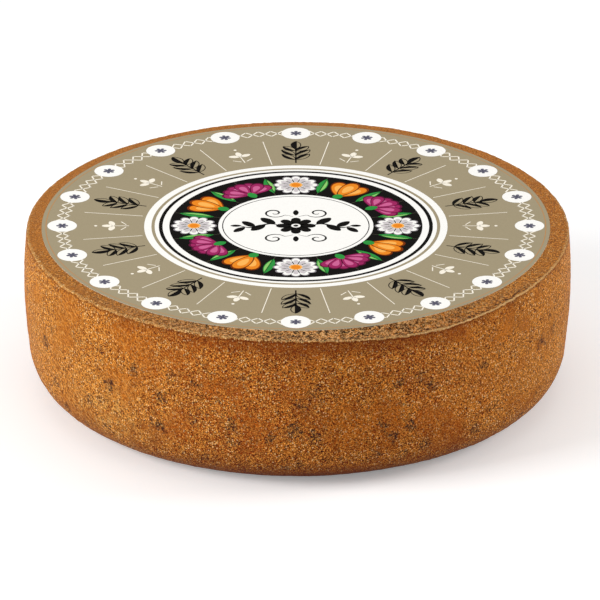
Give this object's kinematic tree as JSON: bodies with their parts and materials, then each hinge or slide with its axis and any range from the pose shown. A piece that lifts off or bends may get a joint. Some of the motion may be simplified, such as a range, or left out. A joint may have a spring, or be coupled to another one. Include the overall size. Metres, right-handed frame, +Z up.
{
  "type": "cheese wheel",
  "caption": "Whole round wheel of washed-rind cheese with bellied walls, a soft foot corner, a crisp lip and a round printed paper label on its flat top.",
  "frame": {"origin": "middle of the flat foot, on the surface the wheel rests on", "axes": "+Z up through the label; -Y is the front and +X the right, as the reference view shows it"},
  "size_m": [0.3023, 0.3022, 0.0922],
  "materials": {
    "rind": "washed and brushed natural cheese rind: matte, fine sandy grain, golden brown to chestnut, with paler specks, dark pits and a few mould patches",
    "label_paper": "uncoated printed paper glued flat: buff ground with white and black rings and small coloured ornament"
  },
  "bodies": {
    "root": {"cheese_wheel": "rind", "paper_label": "label_paper"}
  },
  "joints": []
}
